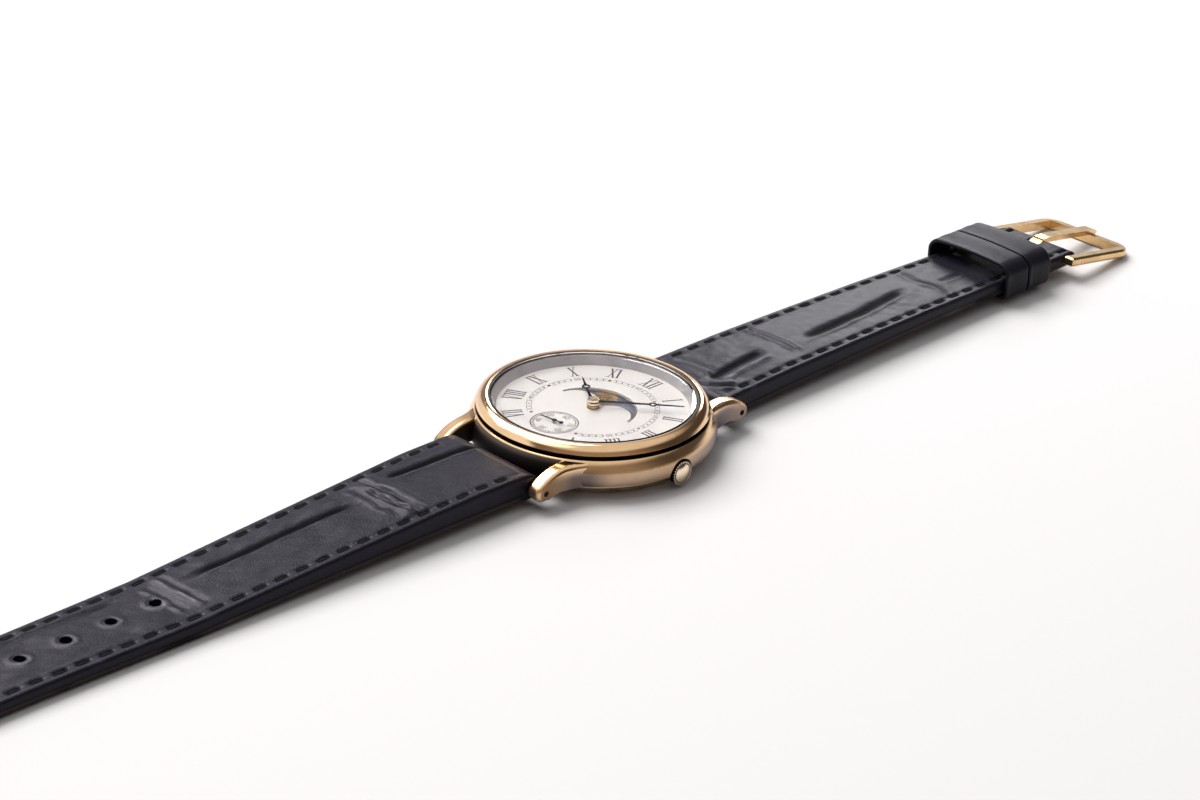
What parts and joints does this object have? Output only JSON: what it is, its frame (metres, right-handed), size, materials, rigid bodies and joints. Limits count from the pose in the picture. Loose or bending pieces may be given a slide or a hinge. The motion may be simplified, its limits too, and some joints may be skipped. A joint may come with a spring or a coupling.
{
  "type": "moon phase wristwatch",
  "caption": "Round gold-coloured wristwatch with a moon phase window and small seconds, on a padded black leather strap with a tongue buckle.",
  "frame": {"origin": "centre of the case back's flat face, which rests on the table", "axes": "+Z from the case back to the glass, +Y to twelve o'clock and the buckle, +X to three o'clock and the crown"},
  "size_m": [0.0377, 0.2593, 0.0081],
  "materials": {
    "gold_plated": "polished gold plating",
    "gold_trim": "polished",
    "crystal": "polished",
    "gasket_rubber": "matt",
    "reflector": "satin",
    "dial_lacquer": "satin, printed numerals",
    "moon_lacquer": "satin, printed stars and moons",
    "blued_steel": "polished and blued",
    "steel": "satin",
    "nickel_plated": "satin nickel plating",
    "brass_wheels": "satin",
    "black_plastic": "matt",
    "copper_wire": "enamelled wire",
    "green_board": "gloss",
    "black_leather": "semi-gloss, embossed",
    "lining_leather": "matt"
  },
  "bodies": {
    "case": {"case_middle": "gold_plated", "bezel": "gold_plated", "crystal": "crystal", "crystal_gasket": "gasket_rubber", "reflector_ring": "reflector", "dial": "dial_lacquer", "dial_feet": "nickel_plated", "hour_dots": "gold_trim", "movement_holder": "black_plastic", "main_plate": "nickel_plated", "train_bridge": "nickel_plated", "movement_screws": "steel", "battery": "steel", "battery_clamp": "steel", "circuit_board": "green_board", "quartz_resonator": "steel", "coil_core": "steel", "coil_winding": "copper_wire", "stator": "steel", "moon_jumper": "steel", "crown_tube": "steel", "case_back": "gold_plated", "case_back_gasket": "gasket_rubber", "spring_bar_6": "steel", "spring_bar_12": "steel"},
    "minute_works": {"cannon_pinion": "brass_wheels", "minute_hand": "blued_steel", "minute_collet": "gold_trim"},
    "hour_works": {"hour_wheel": "brass_wheels", "hour_hand": "blued_steel", "hour_collet": "gold_trim"},
    "minute_wheel": {"minute_wheel": "brass_wheels"},
    "setting_wheel": {"setting_wheel": "brass_wheels"},
    "moon_inner_idler": {"moon_inner_idler": "brass_wheels"},
    "moon_outer_idler": {"moon_outer_idler": "brass_wheels"},
    "moon_finger_wheel": {"moon_finger_wheel": "brass_wheels"},
    "moon_disc": {"moon_disc": "moon_lacquer"},
    "small_seconds": {"fourth_wheel": "brass_wheels", "seconds_hand": "blued_steel"},
    "centre_wheel": {"centre_wheel": "brass_wheels"},
    "third_wheel": {"third_wheel": "brass_wheels"},
    "fifth_wheel": {"fifth_wheel": "black_plastic"},
    "rotor": {"rotor": "black_plastic"},
    "crown_slide": {"stem_gasket": "gasket_rubber"},
    "crown": {"crown": "gold_plated", "stem": "steel"},
    "clutch": {"clutch_wheel": "steel"},
    "setting_lever": {"setting_lever": "steel"},
    "yoke": {"yoke": "steel"},
    "holed_strap": {"holed_strap_upper": "black_leather", "holed_strap_lining": "lining_leather"},
    "buckle_strap": {"buckle_strap_upper": "black_leather", "buckle_strap_lining": "lining_leather", "fixed_keeper": "black_leather", "buckle_bar": "gold_plated"},
    "free_keeper": {"free_keeper": "black_leather"},
    "buckle_frame": {"buckle_frame": "gold_plated"},
    "buckle_tongue": {"buckle_tongue": "gold_plated"}
  },
  "joints": [
    {"name": "minute_turn", "type": "hinge", "parent": "case", "child": "minute_works", "pos_m": [0, 0, 0.0042], "axis": [0, 0, -1], "continuous": true},
    {"name": "hour_turn", "type": "hinge", "parent": "case", "child": "hour_works", "pos_m": [0, 0, 0.0042], "axis": [0, 0, -1], "continuous": true},
    {"name": "minute_wheel_turn", "type": "hinge", "parent": "case", "child": "minute_wheel", "pos_m": [0.003, 0, 0.0042], "axis": [0, 0, -1], "continuous": true},
    {"name": "setting_wheel_turn", "type": "hinge", "parent": "case", "child": "setting_wheel", "pos_m": [0.00675, 0, 0.0042], "axis": [0, 0, -1], "continuous": true},
    {"name": "moon_inner_idler_turn", "type": "hinge", "parent": "case", "child": "moon_inner_idler", "pos_m": [-0.0027, 0, 0.0042], "axis": [0, 0, -1], "continuous": true},
    {"name": "moon_outer_idler_turn", "type": "hinge", "parent": "case", "child": "moon_outer_idler", "pos_m": [-0.0057, 0, 0.0042], "axis": [0, 0, -1], "continuous": true},
    {"name": "moon_finger_turn", "type": "hinge", "parent": "case", "child": "moon_finger_wheel", "pos_m": [-0.0096, 0, 0.0042], "axis": [0, 0, -1], "continuous": true},
    {"name": "moon_disc_turn", "type": "hinge", "parent": "case", "child": "moon_disc", "pos_m": [0, 0, 0.0042], "axis": [0, 0, -1], "continuous": true},
    {"name": "seconds_turn", "type": "hinge", "parent": "case", "child": "small_seconds", "pos_m": [0, -0.008, 0.0042], "axis": [0, 0, -1], "continuous": true},
    {"name": "centre_wheel_turn", "type": "hinge", "parent": "case", "child": "centre_wheel", "pos_m": [0, 0, 0.0042], "axis": [0, 0, -1], "continuous": true},
    {"name": "third_wheel_turn", "type": "hinge", "parent": "case", "child": "third_wheel", "pos_m": [0.00125, -0.00424, 0.0042], "axis": [0, 0, -1], "continuous": true},
    {"name": "fifth_wheel_turn", "type": "hinge", "parent": "case", "child": "fifth_wheel", "pos_m": [-0.00233, -0.00859, 0.0042], "axis": [0, 0, -1], "continuous": true},
    {"name": "rotor_turn", "type": "hinge", "parent": "case", "child": "rotor", "pos_m": [-0.0039, -0.007, 0.0042], "axis": [0, 0, -1], "continuous": true},
    {"name": "crown_pull", "type": "slide", "parent": "case", "child": "crown_slide", "axis": [1, 0, 0], "range_m": [0, 0.0009]},
    {"name": "crown_turn", "type": "hinge", "parent": "crown_slide", "child": "crown", "pos_m": [0.0178, 0, 0.00242], "axis": [1, 0, 0], "continuous": true},
    {"name": "clutch_slide", "type": "slide", "parent": "crown", "child": "clutch", "axis": [1, 0, 0], "range_m": [-0.0014, 0]},
    {"name": "setting_lever_turn", "type": "hinge", "parent": "case", "child": "setting_lever", "pos_m": [0.01125, 0.0022, 0.0013], "axis": [0, 0, 1], "range_deg": [0, 24.15]},
    {"name": "yoke_turn", "type": "hinge", "parent": "case", "child": "yoke", "pos_m": [0.0092, -0.0024, 0.0013], "axis": [0, 0, 1], "range_deg": [0, 12.02]},
    {"name": "holed_strap_hinge", "type": "hinge", "parent": "case", "child": "holed_strap", "pos_m": [0, -0.02041, 0.003], "axis": [1, 0, 0], "range_deg": [-55, 75]},
    {"name": "buckle_strap_hinge", "type": "hinge", "parent": "case", "child": "buckle_strap", "pos_m": [0, 0.02041, 0.003], "axis": [-1, 0, 0], "range_deg": [-55, 75]},
    {"name": "free_keeper_slide", "type": "slide", "parent": "buckle_strap", "child": "free_keeper", "axis": [0, 1, 0], "range_m": [-0.012, 0]},
    {"name": "buckle_hinge", "type": "hinge", "parent": "buckle_strap", "child": "buckle_frame", "pos_m": [0, 0.10561, 0.00314], "axis": [1, 0, 0], "range_deg": [-15, 50]},
    {"name": "tongue_hinge", "type": "hinge", "parent": "buckle_frame", "child": "buckle_tongue", "pos_m": [0, 0.10561, 0.00314], "axis": [1, 0, 0], "range_deg": [0, 80]}
  ],
  "couplings": [
    {"joint": "minute_wheel_turn", "follows": "minute_turn", "ratio": -0.33333},
    {"joint": "hour_turn", "follows": "minute_turn", "ratio": 0.083333},
    {"joint": "setting_wheel_turn", "follows": "minute_turn", "ratio": 0.5},
    {"joint": "moon_inner_idler_turn", "follows": "minute_turn", "ratio": -0.066667},
    {"joint": "moon_outer_idler_turn", "follows": "minute_turn", "ratio": 0.066667},
    {"joint": "moon_finger_turn", "follows": "minute_turn", "ratio": -0.041667},
    {"joint": "moon_disc_turn", "follows": "minute_turn", "ratio": 0.00070621},
    {"joint": "third_wheel_turn", "follows": "seconds_turn", "ratio": -0.125},
    {"joint": "centre_wheel_turn", "follows": "seconds_turn", "ratio": 0.016667},
    {"joint": "fifth_wheel_turn", "follows": "seconds_turn", "ratio": -5},
    {"joint": "rotor_turn", "follows": "seconds_turn", "ratio": 30},
    {"joint": "clutch_slide", "follows": "crown_pull", "ratio": -1.5555},
    {"joint": "setting_lever_turn", "follows": "crown_pull", "rad_per_m": 468.28},
    {"joint": "yoke_turn", "follows": "crown_pull", "rad_per_m": 233.18}
  ]
}
